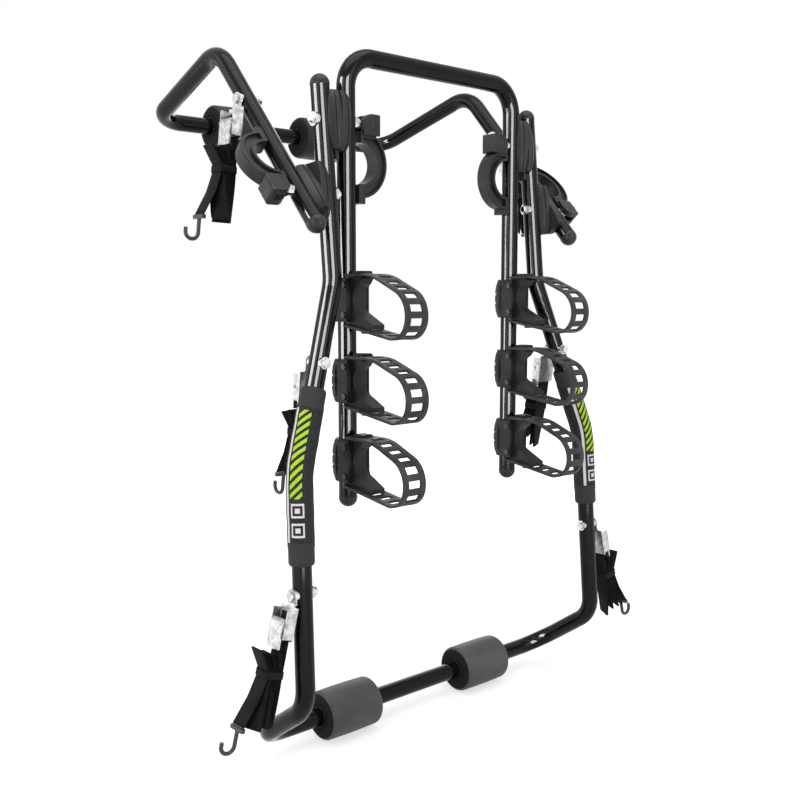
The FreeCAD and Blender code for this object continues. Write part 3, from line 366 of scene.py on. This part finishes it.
# A padded sleeve wraps each elbow of the lower frame, so that the leg doesn't mark the car. It is
# laminated foam, closed with a seam at the back, hemmed at both ends and printed at the front.
INCH_TUBE_R = 0.0127
ELBOW = Vector((0.278, -0.096, 0.378))
SHOULDER = Vector((0.198, -0.062, 0.615))
FOOT = Vector((0.285, -0.115, 0.080))
SLEEVE_ABOVE = 0.108
SLEEVE_BELOW = 0.116
ELBOW_R = 0.120
SLEEVE_WALL = 0.0046
CUFF = 0.021
CUFF_SIZE = 0.965
HEM = 0.0022
HEM_SIZE = (0.86, 0.96)
SWELLS = ((0.008, 210.0, 0.0), (0.006, 87.0, 1.0))
SWELL_START = 0.01
SLEEVE_ROUND = 64
SLEEVE_TURN = {"left": 0.0, "right": 0.13}
SLEEVE_GAP = 0.0011
SLEEVE_SHEET = SLEEVE_WALL - SLEEVE_GAP
SLEEVE_STEPS = (math.radians(3), 0.003)
STRAIGHT_ANGLE = 0.002
SAME_PLACE = 1e-6

# The sleeve's printed areas: shares of the way round and of the length.
CUFF_ENDS = (0.12, 0.87)
STRIPE = ((0.215, 0.255), (0.125, 0.865))
BARS = ((0.28, 0.43), (0.14, 0.62))
BAR_SLANT = (9.0, 21.0)
BAR_SHARE = 0.52
BLOCKS = ((0.645, 0.725), (0.755, 0.835))
BLOCK_SIDES = (0.29, 0.45)
BLOCK_WHITE = (0.7, 0.7, 0.69)
BLOCK_BLACK = (0.016, 0.016, 0.017)
BLOCK_STEPS = ((0.0, 0.0, BLOCK_WHITE), (0.02, 0.012, BLOCK_BLACK), (0.05, 0.026, BLOCK_WHITE))
CUFF_GREY = (0.034, 0.034, 0.035)
STRIPE_WHITE = (0.72, 0.72, 0.71)
LIME = (0.42, 0.66, 0.03)


def rounded_path(corners, radii, turn, run):
    """(point, direction, distance) places along straight runs, with an arc at each inner corner.

    turn is about the angle between two places of an arc, and run the most between two others.
    """
    places = [(corners[0], (corners[1] - corners[0]).normalized())]
    for before, corner, after, radius in zip(corners, corners[1:], corners[2:], radii):
        a = (corner - before).normalized()
        b = (after - corner).normalized()
        angle = a.angle(b)
        if angle < STRAIGHT_ANGLE:
            continue
        axis = a.cross(b).normalized()
        start = corner - a * radius * math.tan(angle / 2)
        centre = start + axis.cross(a) * radius
        steps = max(2, round(angle / turn))
        for i in range(steps + 1):
            turned = Matrix.Rotation(angle * i / steps, 3, axis)
            places.append((centre + turned @ (start - centre), turned @ a))
    places.append((corners[-1], (corners[-1] - corners[-2]).normalized()))
    full = [(*places[0], 0.0)]
    for point, direction in places[1:]:
        last = full[-1]
        gap = (point - last[0]).length
        if gap < SAME_PLACE:
            continue
        for i in range(1, math.ceil(gap / run) + 1):
            share = i / math.ceil(gap / run)
            full.append((last[0].lerp(point, share), direction, last[2] + gap * share))
    return full


def frame_at(point, direction, across):
    """Axes at a place of a path: X across it, Z along it."""
    across = (across - direction * across.dot(direction)).normalized()
    normal = direction.cross(across)
    return Matrix.Translation(point) @ Matrix((across, normal, direction)).transposed().to_4x4()


def sweep(mesh, ring, places, across, size_at=None, closed_ring=True):
    """Extrudes a ring of points, given across and normal to the path, through all its places."""
    round_layer = mesh.verts.layers.float.new("round")
    along_layer = mesh.verts.layers.float.new("along")
    verts = [mesh.verts.new((x, y, 0)) for x, y in ring]
    for i, vert in enumerate(verts):
        vert[round_layer] = i / len(verts)
    pairs = list(zip(verts, verts[1:] + verts[:1])) if closed_ring else list(zip(verts, verts[1:]))
    edges = [mesh.edges.new(pair) for pair in pairs]
    last = Matrix()
    for number, (point, direction, distance) in enumerate(places):
        size = size_at(distance) if size_at else 1.0
        here = frame_at(point, direction, across) @ Matrix.Diagonal((size, size, 1, 1))
        if number:
            grown = bmesh.ops.extrude_edge_only(mesh, edges=edges)["geom"]
            edges = [g for g in grown if isinstance(g, bmesh.types.BMEdge)]
            verts = [g for g in grown if isinstance(g, bmesh.types.BMVert)]
            rungs = {e for v in verts for e in v.link_edges if e.other_vert(v) not in set(verts)}
            edges = [e for e in edges if e not in rungs]
        bmesh.ops.transform(mesh, matrix=here @ last.inverted(), verts=verts)
        for vert in verts:
            vert[along_layer] = distance
        last = here
    return round_layer, along_layer


def lay_uv(mesh, round_layer, along_layer, per_metre):
    """Writes the UV map: the share of the way round as U, the metres along times per_metre as V."""
    uv = mesh.loops.layers.uv.new("UVMap")
    for face in mesh.faces:
        rounds = [loop.vert[round_layer] for loop in face.loops]
        wraps = max(rounds) - min(rounds) > 0.5
        for loop in face.loops:
            u = loop.vert[round_layer]
            loop[uv].uv = (u + 1.0 if wraps and u < 0.5 else u, loop.vert[along_layer] * per_metre)


def sleeve_size(distance, length):
    """The sleeve's thickness along its length: low cuffs, stitched hems and a soft body."""
    end = min(distance, length - distance)
    if end < HEM:
        return HEM_SIZE[0] + (HEM_SIZE[1] - HEM_SIZE[0]) * end / HEM
    if end < CUFF:
        return CUFF_SIZE
    swell = sum(height * math.sin(distance * pace + start) for height, pace, start in SWELLS)
    return 1.0 + swell * min(1.0, (end - CUFF) / SWELL_START)


def maths(tree, operation, a, b):
    """The result of a Math node for two values, each a socket or a number."""
    node = tree.nodes.new("ShaderNodeMath")
    node.operation = operation
    for value, socket in zip((a, b), node.inputs):
        if isinstance(value, (int, float)):
            socket.default_value = value
        else:
            tree.links.new(value, socket)
    return node.outputs[0]


def band(tree, value, low, high):
    """1 where value lies between low and high."""
    above = maths(tree, "GREATER_THAN", value, low)
    below = maths(tree, "LESS_THAN", value, high)
    return maths(tree, "MULTIPLY", above, below)


def area(tree, u, v, across, along):
    """1 inside a rectangle of the UV map."""
    return maths(tree, "MULTIPLY", band(tree, u, *across), band(tree, v, *along))


def paint(tree, mask, colour):
    """Lays a printed colour over the finish where mask is 1."""
    base = tree.nodes["Principled BSDF"].inputs["Base Color"]
    mix = tree.nodes.new("ShaderNodeMix")
    mix.data_type = "RGBA"
    tree.links.new(mask, mix.inputs["Factor"])
    tree.links.new(base.links[0].from_socket, mix.inputs["A"])
    mix.inputs["B"].default_value = (*colour, 1)
    tree.links.new(mix.outputs["Result"], base)


def sleeve_finish():
    """Black laminated foam: a white stripe, slanted lime bars beside it, two white blocks below."""
    material, tree = new_finish("printed_sleeve", 0.65, specular=0.2)
    colours(tree, noise(tree, 240.0, 4.0), (0.014, 0.014, 0.015), (0.026, 0.026, 0.027))
    place = tree.nodes.new("ShaderNodeUVMap")
    parts = tree.nodes.new("ShaderNodeSeparateXYZ")
    tree.links.new(place.outputs["UV"], parts.inputs["Vector"])
    u, v = parts.outputs["X"], parts.outputs["Y"]
    paint(tree, maths(tree, "SUBTRACT", 1.0, band(tree, v, *CUFF_ENDS)), CUFF_GREY)
    paint(tree, area(tree, u, v, *STRIPE), STRIPE_WHITE)
    slant = maths(tree, "ADD", maths(tree, "MULTIPLY", u, BAR_SLANT[0]),
                  maths(tree, "MULTIPLY", v, BAR_SLANT[1]))
    tooth = band(tree, maths(tree, "FRACT", slant, 0.0), 0.0, BAR_SHARE)
    paint(tree, maths(tree, "MULTIPLY", tooth, area(tree, u, v, *BARS)), LIME)
    for low, high in BLOCKS:
        for side, end, colour in BLOCK_STEPS:
            across = (BLOCK_SIDES[0] + side, BLOCK_SIDES[1] - side)
            paint(tree, area(tree, u, v, across, (low + end, high - end)), colour)
    weave = add(tree, "ShaderNodeTexWave", Scale=900.0, Distortion=0.6)
    grid = tree.nodes.new("ShaderNodeTexCoord")
    tree.links.new(grid.outputs["Object"], weave.inputs["Vector"])
    bump(tree, weave.outputs["Fac"], 0.00005, 0.5)
    bump(tree, noise(tree, 90.0, 3.0), 0.0004, 0.4)
    return material


printed_sleeve = sleeve_finish()
for word, side in LEFT_RIGHT:
    flip = Vector((side, 1, 1))
    elbow = ELBOW * flip
    up = (SHOULDER * flip - elbow).normalized()
    down = (FOOT * flip - elbow).normalized()
    path = rounded_path([elbow + up * SLEEVE_ABOVE, elbow, elbow + down * SLEEVE_BELOW], [ELBOW_R],
                        *SLEEVE_STEPS)
    length = path[-1][2]
    outer = INCH_TUBE_R + SLEEVE_WALL
    turns = [math.tau * (i / SLEEVE_ROUND + SLEEVE_TURN[word]) for i in range(SLEEVE_ROUND)]
    ring = [(-outer * math.sin(turn), -outer * math.cos(turn)) for turn in turns]
    mesh = bmesh.new()
    layers = sweep(mesh, ring, path, Vector((1, 0, 0)), lambda s: sleeve_size(s, length))
    lay_uv(mesh, *layers, 1.0 / length)
    sleeve = new_piece(f"padded_sleeve_{word}", mesh, printed_sleeve, "main_frame")
    wall = sleeve.modifiers.new("wall", "SOLIDIFY")
    wall.thickness = SLEEVE_SHEET
    wall.offset = -1
    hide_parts(f"sleeve_{word}")

# The pivots are ribbed saddle halves, moulded in glass-filled nylon. Their colour has lighter
# streaks along them, a painted highlight where the ribs catch the light. The cam levers are of
# the same plastic, smoother where the fingers rub.
ribbed_nylon_and_sheen, tree = new_finish("ribbed_nylon_and_sheen", 0.42, specular=0.25)
# The colour's noise is drawn out along Z into lighter streaks: painted highlight on the ribs.
colours(tree, noise(tree, 38.0, 4.0, (1, 1, 0.25)), (0.012, 0.012, 0.013), (0.032, 0.032, 0.034))
roughness(tree, noise(tree, 55.0, 4.0), 0.32, 0.55)
bump(tree, noise(tree, 1600.0, 2.0), 0.00004, 0.6)
finish_nodes(ribbed_nylon_and_sheen, "frame_knuckles_upper", "frame_knuckles_lower",
             "arm_knuckles", "upper_knuckles")

lever_nylon, tree = new_finish("lever_nylon", 0.38, specular=0.25)
colours(tree, noise(tree, 30.0, 4.0), (0.011, 0.011, 0.012), (0.03, 0.03, 0.0315))
roughness(tree, noise(tree, 45.0, 4.0), 0.28, 0.5)
bump(tree, noise(tree, 1800.0, 2.0), 0.00003, 0.6)
finish_nodes(lever_nylon, *[f"cam_lever_{which}_{word}"
                            for which in ("upper", "lower") for word, _ in LEFT_RIGHT])

# Bolts, dome nuts, saddles and washers are turned or pressed steel, plated bright. They hold the
# pivots together and the six straps to the tubes.
bright_plate, tree = new_finish("bright_plate", 0.16, metallic=1.0)
colours(tree, noise(tree, 120.0, 4.0), (0.5, 0.5, 0.51), (0.72, 0.72, 0.73))
roughness(tree, noise(tree, 300.0, 4.0), 0.1, 0.3)
bump(tree, noise(tree, 900.0, 2.0), 0.00002, 0.5)
finish_nodes(bright_plate, "pivot_saddles", "strap_bolts_frame", "strap_bolts_upper",
             *[f"{part}_{which}" for part in ("pivot_bolts", "pivot_nuts", "cam_washers")
               for which in ("upper", "lower")])

# The cradles clamp round the bike arms: a hard jaw with a C-shaped seat and a ridged back shell,
# both of black nylon with a fine spark-eroded grain, held by blackened screws. The levers' pins are
# blackened in the same way.
cradle_nylon, tree = new_finish("cradle_nylon", 0.5, specular=0.2)
colours(tree, noise(tree, 34.0, 5.0), (0.011, 0.011, 0.012), (0.03, 0.03, 0.031))
roughness(tree, noise(tree, 70.0, 4.0), 0.36, 0.62)
bump(tree, noise(tree, 1300.0, 2.0), 0.00006, 0.7)
finish_nodes(cradle_nylon, "cradle_seats", "cradle_shells")
black_screw, tree = new_finish("blackened_screw", 0.35, metallic=1.0)
colours(tree, noise(tree, 200.0), (0.03, 0.03, 0.03), (0.07, 0.07, 0.07))
finish_nodes(black_screw, "cradle_screws", "cam_pins_upper", "cam_pins_lower")

# Each cradle's rubber ladder strap hangs on the stud of the jaw, runs round the bike's tube and
# back under it, where the jaw's tooth holds a slot. The rubber keeps a slightly different curve
# in each.
HOOP_X = 0.159
PIVOT_Y = -0.042068
PIVOT_Z = 0.822
CRADLE_DOWN = (0.231, 0.339, 0.447)
LADDER_HALF = 0.0185
LADDER_RAIL = 0.0085
LADDER_THICK = 0.003
LADDER_START = (0.016, 0.0326)
LADDER_PEAK = (0.070, 0.0326)
LADDER_TAIL = (0.015, -0.0334)
LADDER_NOSES = ((0.142, 0.002), (0.144, 0.006), (0.139, 0.005))
LADDER_CHINS = ((0.137, -0.053), (0.138, -0.051), (0.133, -0.050))
LADDER_RADII = (0.080, 0.034, 0.028)
STUD_SLOT = (0.0078, 0.0272)
TOOTH_SLOT = (0.0238, 0.0341)
SLOT_PITCH = 0.018
SLOT_LENGTH = 0.010
SLOT_ROW = 0.036
LADDER_EDGE = 0.0007
LADDER_EDGE_ANGLE = 50
LADDER_FLAT_ANGLE = 0.5
LADDER_STEPS = (math.radians(5), 0.001)

rubber, tree = new_finish("black_rubber", 0.55, specular=0.2)
colours(tree, noise(tree, 50.0, 4.0), (0.024, 0.025, 0.025), (0.052, 0.054, 0.054))
roughness(tree, noise(tree, 80.0, 4.0), 0.42, 0.66)
bump(tree, noise(tree, 1100.0, 2.0), 0.00006, 0.6)


def in_slot(distance, length):
    """Whether a place of the ladder lies in the stud's slot, the tooth's or one of the row's."""
    if STUD_SLOT[0] < distance < STUD_SLOT[1] or TOOTH_SLOT[0] < length - distance < TOOTH_SLOT[1]:
        return True
    pitch = length / int(length / SLOT_PITCH)
    in_row = SLOT_ROW < distance < length - SLOT_ROW
    return in_row and abs(distance % pitch - pitch / 2) < SLOT_LENGTH / 2


def ladder_strap(mesh, centre, number):
    """A strip three faces wide, bent along its path, with the slots left out of the middle one."""
    outline = (LADDER_START, LADDER_PEAK, LADDER_NOSES[number], LADDER_CHINS[number], LADDER_TAIL)
    corners = [centre + Vector((0, -out, up)) for out, up in outline]
    places = rounded_path(corners, LADDER_RADII, *LADDER_STEPS)
    inner = LADDER_HALF - LADDER_RAIL
    line = [(x, 0) for x in (-LADDER_HALF, -inner, inner, LADDER_HALF)]
    round_layer, along_layer = sweep(mesh, line, places, Vector((1, 0, 0)), closed_ring=False)
    length = places[-1][2]
    holes = [f for f in mesh.faces if abs(f.calc_center_median().x - centre.x) < inner / 2
             and in_slot(sum(v[along_layer] for v in f.verts) / len(f.verts), length)]
    bmesh.ops.delete(mesh, geom=holes, context="FACES_ONLY")
    bmesh.ops.dissolve_limit(mesh, angle_limit=math.radians(LADDER_FLAT_ANGLE), verts=mesh.verts,
                             edges=mesh.edges)


for word, side in LEFT_RIGHT:
    for number, down in enumerate(CRADLE_DOWN):
        mesh = bmesh.new()
        ladder_strap(mesh, Vector((side * HOOP_X, PIVOT_Y, PIVOT_Z - down)), number)
        strap = new_piece(f"ladder_strap_{word}_{number + 1}", mesh, rubber, "bike_arms")
        wall = strap.modifiers.new("wall", "SOLIDIFY")
        wall.thickness = LADDER_THICK
        wall.offset = 0
        soft = strap.modifiers.new("soft_edges", "BEVEL")
        soft.width = LADDER_EDGE
        soft.segments = 2
        soft.limit_method = "ANGLE"
        soft.angle_limit = math.radians(LADDER_EDGE_ANGLE)
        if number == 0:
            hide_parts(f"ladder_straps_{word}")

# Six tie-down straps: a zinc-plated cam buckle bolted to the tube, and black polyester webbing
# folded into a hank, tied at the waist, with a vinyl-dipped hook at its free end.
zinc, tree = new_finish("zinc_plate", 0.35, metallic=1.0)
colours(tree, noise(tree, 150.0, 5.0), (0.34, 0.34, 0.35), (0.6, 0.6, 0.61))
roughness(tree, noise(tree, 260.0, 4.0), 0.28, 0.5)
bump(tree, noise(tree, 700.0, 3.0), 0.00004, 0.5)
dipped, tree = new_finish("vinyl_dip", 0.3)
colours(tree, noise(tree, 60.0), (0.01, 0.01, 0.011), (0.024, 0.024, 0.025))
bump(tree, noise(tree, 250.0), 0.00008, 0.5)

WEB_WIDTH = 0.025
WEB_THICK = 0.0014
SELVEDGE = 0.0012
SELVEDGE_SHARE = 0.4
WEB_CROWN = 1.1
WEB_STRANDS = 9
WEB_PITCH = 0.0026
WEB_FIRST = 0.0028
WEB_START = -0.020
WAIST = -0.096
HALF_BAND = 0.0052
BAND_HEIGHT = 0.009
BAND_THICK = 0.0012
BAND_CORNER = 0.0016
BAND_GAP = 0.0002
FAN_LENGTH = 0.062
FAN_STEP = 0.0064
FAN_LEAN = 0.006
BOW_SHARE = (0.3, 0.32, 0.5)
HEAD_LENGTH = 0.027
HEAD_STEP = 0.005
HEAD_LEAN = 0.008
FOLD_HALF = 0.001
FOLD_RADII = {"head": 0.0009, "waist": 0.006, "bow": 0.03, "fan": 0.0009}
FOLD_UNEVEN = (0.003, 2.1, 0.6)
FOLD_LOOSE = 0.005
FOLD_SWAY = 0.006
WEB_STEPS = (math.radians(15), 0.009)
WASHER_TOP = 0.0147

# Each pair's place on the tube (0 behind it, 1 on its outer side), its tilt, how wide its folds
# spread and how far they turn below the tie.
STRAPS = {"top": (1, 6, 0.45, -48), "side": (0, 8, 0.7, 25), "bottom": (1, 14, 0.85, -25)}


def webbing_finish():
    """Black polyester webbing: raised rows along it, crossed by the finer weft."""
    material, tree = new_finish("black_webbing", 0.8, specular=0.15)
    colours(tree, noise(tree, 60.0, 4.0), (0.004, 0.004, 0.0044), (0.011, 0.011, 0.0115))
    place = tree.nodes.new("ShaderNodeUVMap")
    for scale, depth in (((26.0, 1.0, 1.0), 0.00012), ((1.0, 620.0, 1.0), 0.00008)):
        size = tree.nodes.new("ShaderNodeMapping")
        size.inputs["Scale"].default_value = scale
        tree.links.new(place.outputs["UV"], size.inputs["Vector"])
        rows = add(tree, "ShaderNodeTexWave", Scale=1.0)
        rows.bands_direction = "X" if scale[0] > 1 else "Y"
        tree.links.new(size.outputs["Vector"], rows.inputs["Vector"])
        bump(tree, rows.outputs["Fac"], depth, 0.7)
    return material


def webbing_corners(rng, spread):
    """The folded route in the strap's own axes. Its last end stays where the hook hangs from it."""
    middle = WEB_FIRST + (WEB_STRANDS - 1) / 2 * WEB_PITCH
    loose = [(FOLD_SWAY * rng.uniform(-1, 1), FOLD_LOOSE * rng.uniform(-1, 1))
             for _ in range(WEB_STRANDS)]
    corners = [Vector((0, WEB_FIRST, WEB_START))]
    radii = []
    for i in range(WEB_STRANDS):
        fold, next_fold = i // 2, (i + 1) // 2
        sway, lower = loose[fold]
        aside, higher = loose[-1 - next_fold]
        half = FOLD_HALF * (1 if i % 2 else -1)
        fanned = (2 * fold - (WEB_STRANDS - 2) / 2) * FAN_STEP * spread + half
        if i == WEB_STRANDS - 1:
            sway, lower, fanned = 0, 0, (WEB_STRANDS - 1) / 2 * FAN_STEP
        waist = WEB_FIRST + i * WEB_PITCH
        out = middle + FAN_LEAN + fanned
        raised = middle + HEAD_LEAN + (2 * next_fold - WEB_STRANDS / 2) * HEAD_STEP - half
        uneven = FOLD_UNEVEN[0] * math.sin(FOLD_UNEVEN[1] * fold + FOLD_UNEVEN[2]) + lower
        fan = Vector((sway, out, WAIST - FAN_LENGTH - uneven))
        bow = Vector((BOW_SHARE[0] * sway, waist + BOW_SHARE[1] * (out - waist),
                      WAIST - BOW_SHARE[2] * FAN_LENGTH))
        head = Vector((aside, raised, WAIST + HEAD_LENGTH + higher))
        run = [(head, "head"), (Vector((0, waist, WAIST + HALF_BAND)), "waist"),
               (Vector((0, waist, WAIST - HALF_BAND)), "waist"), (bow, "bow"), (fan, "fan")]
        if i == 0:
            run = run[2:]
        if i % 2:
            run = run[::-1]
        corners += [point for point, _ in run]
        radii += [FOLD_RADII[kind] for _, kind in run]
    return corners, radii[:-1]


def wring(mesh, along_layer, fixed, turn):
    """Turns the folds below the tie about the hank's own length, all but the end with the hook."""
    middle = Vector((0, WEB_FIRST + (WEB_STRANDS - 1) / 2 * WEB_PITCH, 0))
    for vert in mesh.verts:
        if vert[along_layer] < fixed:
            share = min(0, vert.co.z - WAIST) / FAN_LENGTH
            vert.co = Matrix.Rotation(turn * share, 3, "Z") @ (vert.co - middle) + middle


def strap_matrix(outward, centre, tilt):
    """The axes of a strap that hangs from its bolt, as the frame's joint gives the place."""
    across = outward.cross(Vector((0, 0, 1)))
    axes = Matrix((across, outward, Vector((0, 0, 1)))).transposed().to_4x4()
    return Matrix.Translation(centre + outward * WASHER_TOP) @ axes @ Matrix.Rotation(tilt, 4, "X")


def webbing_section():
    """The webbing's section: thin selvedges and a slightly raised middle."""
    half = WEB_WIDTH / 2
    thick = WEB_THICK / 2
    upper = [(-half, thick * SELVEDGE_SHARE), (-half + SELVEDGE, thick), (0, thick * WEB_CROWN),
             (half - SELVEDGE, thick), (half, thick * SELVEDGE_SHARE)]
    lower = [(x, -y) for x, y in upper[::-1]]
    return lower[-1:] + upper + lower[:-1]


def tie_band(mesh):
    """The webbing's tie at the waist: a rounded open box, which gets its wall from a modifier."""
    near = WEB_FIRST - WEB_THICK / 2 - BAND_GAP
    far = WEB_FIRST + (WEB_STRANDS - 1) * WEB_PITCH + WEB_THICK / 2 + BAND_GAP
    bmesh.ops.create_cube(mesh, size=1.0)
    bmesh.ops.scale(mesh, verts=mesh.verts, vec=(WEB_WIDTH + 2 * BAND_GAP, far - near, BAND_HEIGHT))
    ends = [face for face in mesh.faces if abs(face.normal.z) > 0.9]
    bmesh.ops.delete(mesh, geom=ends, context="FACES_ONLY")
    corners = [edge for edge in mesh.edges if abs(edge.verts[0].co.z - edge.verts[1].co.z) > 0.001]
    bmesh.ops.bevel(mesh, geom=corners, affect="EDGES", offset=BAND_CORNER, segments=3, profile=0.5,
                    material=-1)
    bmesh.ops.translate(mesh, verts=mesh.verts, vec=(0, (near + far) / 2, WAIST))


black_webbing = webbing_finish()
joint_place = {joint["name"]: Vector(joint["pos_m"])
               for joint in frame["joints"] if "pos_m" in joint}
for place, (sideways, tilt, spread, twist) in STRAPS.items():
    for word, side in LEFT_RIGHT:
        name = f"{place}_{word}"
        rng = random.Random(name)
        outward = Vector((side, 0, 0)) if sideways else Vector((0, 1, 0))
        hang = strap_matrix(outward, joint_place[f"strap_{name}_swing"], math.radians(tilt))
        corners, radii = webbing_corners(rng, spread)
        path = rounded_path(corners, radii, *WEB_STEPS)
        mesh = bmesh.new()
        layers = sweep(mesh, webbing_section(), path, Vector((1, 0, 0)))
        bmesh.ops.holes_fill(mesh, edges=mesh.edges, sides=0)
        lay_uv(mesh, *layers, 1.0)
        wring(mesh, layers[1], path[-1][2] - FAN_LENGTH, math.radians(-side * twist))
        bmesh.ops.transform(mesh, matrix=hang, verts=mesh.verts)
        hank = new_piece(f"webbing_hank_{name}", mesh, black_webbing, f"strap_{name}")
        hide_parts(f"webbing_{name}")
        mesh = bmesh.new()
        tie_band(mesh)
        bmesh.ops.transform(mesh, matrix=hang, verts=mesh.verts)
        tie = new_piece(f"hank_band_{name}", mesh, black_webbing, f"strap_{name}")
        wall = tie.modifiers.new("wall", "SOLIDIFY")
        wall.thickness = BAND_THICK
        wall.offset = 1
        finish_nodes(zinc, f"buckle_{name}", f"buckle_cam_{name}")
        finish_nodes(dipped, f"hook_{name}")
